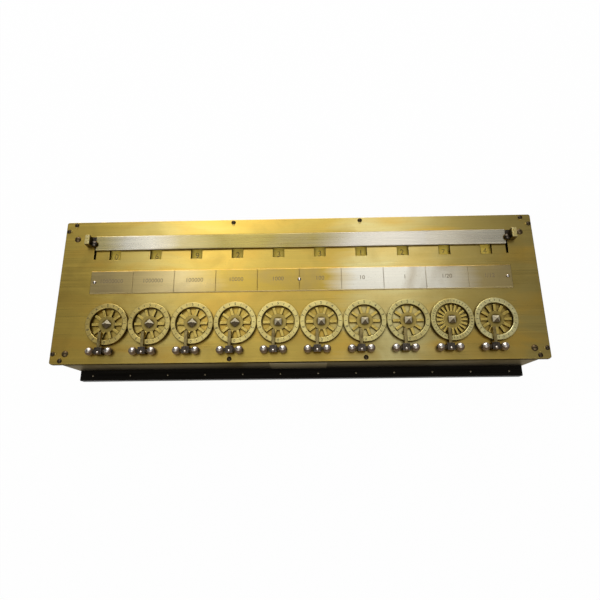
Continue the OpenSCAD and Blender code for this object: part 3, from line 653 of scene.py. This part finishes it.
def flat_text(words, height, depth):
    """Points and faces of a short number in the XY plane, centred, of a given height."""
    curve = bpy.data.curves.new("number", "FONT")
    curve.body = words
    curve.extrude = 0.02
    curve.resolution_u = 3
    shape = bpy.data.objects.new("number", curve)
    bpy.context.scene.collection.objects.link(shape)
    seen = shape.evaluated_get(bpy.context.evaluated_depsgraph_get())
    mesh = bpy.data.meshes.new_from_object(seen)
    form = bmesh.new()
    form.from_mesh(mesh)
    bmesh.ops.remove_doubles(form, verts=form.verts, dist=1e-5)
    tall = max(v.co.y for v in form.verts) - min(v.co.y for v in form.verts)
    middle = [(max(v.co[i] for v in form.verts) + min(v.co[i] for v in form.verts)) / 2 for i in range(2)]
    size = height / tall
    for v in form.verts:
        level = depth if v.co.z > 0 else 0.0
        v.co = Vector(((v.co.x - middle[0]) * size, (v.co.y - middle[1]) * size, level))
    for _ in range(2):
        long_edges = [e for e in form.edges if e.calc_length() > height * 0.14]
        bmesh.ops.subdivide_edges(form, edges=long_edges, cuts=1)
        bmesh.ops.triangulate(form, faces=form.faces)
    form.verts.index_update()
    points = [v.co.copy() for v in form.verts]
    faces = [[v.index for v in f.verts] for f in form.faces]
    form.free()
    bpy.data.objects.remove(shape)
    bpy.data.curves.remove(curve)
    bpy.data.meshes.remove(mesh)
    return points, faces


def tick(length, width, depth):
    """Points and faces of a short bar along Y, centred."""
    half_w, half_l = width / 2, length / 2
    corners = ((-half_w, -half_l), (half_w, -half_l), (half_w, half_l), (-half_w, half_l))
    points = [Vector((x, y, z)) for z in (0.0, depth) for x, y in corners]
    faces = [[4, 5, 6, 7], [3, 2, 1, 0], [0, 1, 5, 4], [1, 2, 6, 5], [2, 3, 7, 6], [3, 0, 4, 7]]
    return points, faces


def on_ring(centre, reach, angle):
    """Function that carries a flat point to an angle on a ring, its foot toward the middle."""
    turn = Matrix.Rotation(angle - math.pi / 2, 3, "Z")
    out = Vector((math.cos(angle), math.sin(angle), 0.0)) * reach
    return lambda p: centre + out + turn @ p


def on_drum(axis, radius, row, angle, fit):
    """Function that carries a flat point round a drum, narrowed to fit its division."""
    def wrap(p):
        around = angle + fit * p.x / radius
        out = radius + p.z
        return Vector((axis.x + out * math.sin(around), row + p.y, axis.z + out * math.cos(around)))

    return wrap


class Piece:
    """Points and faces gathered into one mesh object."""

    def __init__(self):
        self.points = []
        self.faces = []

    def put(self, shape, place):
        """Add a shape with each of its points carried by a function."""
        first = len(self.points)
        points, faces = shape
        self.points += [place(p) for p in points]
        self.faces += [[first + i for i in face] for face in faces]

    def make(self, name, material, body):
        """Make the object, riding on a body."""
        mesh = bpy.data.meshes.new(name)
        mesh.from_pydata(self.points, [], self.faces)
        mesh.materials.append(material)
        made = bpy.data.objects.new(name, mesh)
        bpy.context.scene.collection.objects.link(made)
        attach(made, body)


# Dark rim turned down under the plate's edge, a dark piece that stands in for the shade under the plate's
# lip
rim_corners = ((plate_low.x, plate_low.y, 1, 1), (plate_high.x, plate_low.y, -1, 1),
               (plate_high.x, plate_high.y, -1, -1), (plate_low.x, plate_high.y, 1, -1))
rim_points = [Vector((x + i * inward * MM, y + j * inward * MM, plate_low.z - down * MM))
              for x, y, i, j in rim_corners for inward, down in RIM_STEPS]
steps = len(RIM_STEPS)
rim_faces = []
for c in range(4):
    here, beyond = c * steps, (c + 1) % 4 * steps
    for s in range(steps):
        after = (s + 1) % steps
        rim_faces.append([here + s, beyond + s, beyond + after, here + after])
rim = Piece()
rim.put((rim_points, rim_faces), lambda p: p)
rim.make("plate_rim_shade", rim_shade_black, "case")

# Numbers and ticks on the rings, counted round from the stop
ring_reach = (ring_high.y - ring_low.y) / 2 - RING_MARK_INSET
for c in COLUMNS:
    parts = DIVISIONS[c - 1]
    step = 2 * math.pi / parts
    start = -math.pi / 2 + (0.0 if parts == 10 else step / 2)
    tall = RING_NUMBER if parts == 10 else SMALL_RING_NUMBER
    centre = Vector(JOINTS[f"dial_turn_{c}"]["pos_m"])
    centre.z = ring_high.z
    numbers = Piece()
    for i in range(parts):
        angle = start + i * step
        numbers.put(flat_text(str(i), tall, RING_MARK_DEPTH), on_ring(centre, ring_reach, angle))
        mark = tick(TICK_LENGTH, TICK_WIDTH, RING_MARK_DEPTH)
        numbers.put(mark, on_ring(centre, ring_reach, angle + step / 2))
    numbers.make(f"ring_numbers_{c}", ink, "case")

# Two rows of numbers round each drum, the rear one counting down
slide = -JOINTS["bar_slide"]["range_m"][0]
front_row = (bar_low.y - WINDOW_FRONT + bar_low.y) / 2
rear_row = (bar_high.y - slide + bar_high.y - WINDOW_BACK) / 2
for c in COLUMNS:
    parts = DIVISIONS[c - 1]
    axis = Vector(JOINTS[f"drum_turn_{c}"]["pos_m"])
    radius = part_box(f"number_drum_{c}")[1].z - axis.z + DRUM_CLEARANCE
    room = DRUM_NUMBER_SHARE * 2 * math.pi * radius / parts
    numbers = Piece()
    for i in range(parts):
        angle = 2 * math.pi * i / parts
        value = (SHOWN[c - 1] + i) % parts
        for row, count in ((front_row, value), (rear_row, parts - 1 - value)):
            shape = flat_text(str(count), DRUM_NUMBER[parts], DRUM_NUMBER_DEPTH)
            width = max(p.x for p in shape[0]) - min(p.x for p in shape[0])
            numbers.put(shape, on_drum(axis, radius, row, angle, min(1.0, room / width)))
    numbers.make(f"drum_numbers_{c}", drum_ink, f"drum_{c}")

# Plain place values along the label strip
strip_row = (strip_low.y + strip_high.y) / 2 + STRIP_NUMBER_RISE
numbers = Piece()
for c in COLUMNS:
    at = Vector((JOINTS[f"dial_turn_{c}"]["pos_m"][0], strip_row, strip_high.z))
    numbers.put(flat_text(PLACES[c - 1], STRIP_NUMBER, STRIP_NUMBER_DEPTH), lambda p: at + p)
numbers.make("strip_numbers", strip_ink, "case")

# Pale floor that keeps a soft shadow
floor_mesh = bpy.data.meshes.new("floor")
floor_corners = ((-HALF_FLOOR, -HALF_FLOOR), (HALF_FLOOR, -HALF_FLOOR),
                 (HALF_FLOOR, HALF_FLOOR), (-HALF_FLOOR, HALF_FLOOR))
floor_mesh.from_pydata([(x, y, cad_low.z) for x, y in floor_corners], [], [(0, 1, 2, 3)])
floor = bpy.data.objects.new("floor", floor_mesh)
bpy.context.scene.collection.objects.link(floor)
floor_material, tree = new_tree("floor_white")
path = add(tree, "ShaderNodeLightPath").outputs
seen = reckon(tree, "MAXIMUM", path["Is Camera Ray"], path["Is Glossy Ray"])
seen = reckon(tree, "MAXIMUM", seen, path["Is Transmission Ray"])
share = times(tree, seen, FLOOR_GLOW)
plain = add(tree, "ShaderNodeBsdfDiffuse", {"Color": rgba(FLOOR_GREY)})
shine = add(tree, "ShaderNodeEmission", {"Color": rgba(WHITE), "Strength": 1.0})
both = add(tree, "ShaderNodeMixShader", {0: share, 1: plain.outputs[0], 2: shine.outputs[0]})
add(tree, "ShaderNodeOutputMaterial", {"Surface": both.outputs[0]})
floor_mesh.materials.append(floor_material)

# Dim studio, lighter above and in front
world = bpy.data.worlds.new("studio")
world.use_nodes = True
bpy.context.scene.world = world
tree = world.node_tree
tree.nodes.clear()
toward = add(tree, "ShaderNodeTexCoord").outputs["Generated"]
above = reckon_vector(tree, "DOT_PRODUCT", {0: toward, 1: SKY_TOP}, "Value")
front = reckon_vector(tree, "DOT_PRODUCT", {0: toward, 1: SKY_FRONT}, "Value")
wide = spread(tree, above, 0.20, 0.90, 0.05, 0.18)
peak = spread(tree, above, 0.90, 1.0, 0.0, 0.38)
glow = spread(tree, front, 0.86, 0.97, 0.0, 1.7)
level = reckon(tree, "ADD", reckon(tree, "ADD", wide, peak), glow)
sky = add(tree, "ShaderNodeBackground", {"Color": rgba(WHITE), "Strength": level})
add(tree, "ShaderNodeOutputWorld", {"Surface": sky.outputs[0]})


def soft_lamp(name, at, size, brightness, aim):
    """Rectangular lamp of an even brightness, turned toward a point."""
    data = bpy.data.lights.new(name, "AREA")
    data.shape = "RECTANGLE"
    data.size, data.size_y = size
    data.energy = brightness * math.pi * size[0] * size[1]
    lamp = bpy.data.objects.new(name, data)
    lamp.location = at
    lamp.rotation_mode = "QUATERNION"
    lamp.rotation_quaternion = (aim - Vector(at)).to_track_quat("-Z", "Y")
    bpy.context.scene.collection.objects.link(lamp)


for name, at, size, brightness in LAMPS:
    soft_lamp(name, at, size, brightness, (cad_low + cad_high) / 2)

ahead = Vector((
    math.sin(YAW) * math.cos(ELEVATION), math.cos(YAW) * math.cos(ELEVATION), -math.sin(ELEVATION)
))
level_right = ahead.cross(Vector((0.0, 0.0, 1.0))).normalized()
level_up = level_right.cross(ahead)
right = math.cos(ROLL) * level_right + math.sin(ROLL) * level_up
up = math.cos(ROLL) * level_up - math.sin(ROLL) * level_right
lens = bpy.data.cameras.new("camera")
lens.sensor_fit = "HORIZONTAL"
lens.sensor_width = SENSOR_WIDTH
lens.lens = FOCAL_LENGTH
lens.clip_start = NEAREST
camera = bpy.data.objects.new("camera", lens)
camera.matrix_world = Matrix((right, up, -ahead)).transposed().to_4x4()
camera.location = CAMERA_AT
bpy.context.scene.collection.objects.link(camera)
bpy.context.scene.camera = camera
bpy.context.scene.view_settings.view_transform = "Standard"
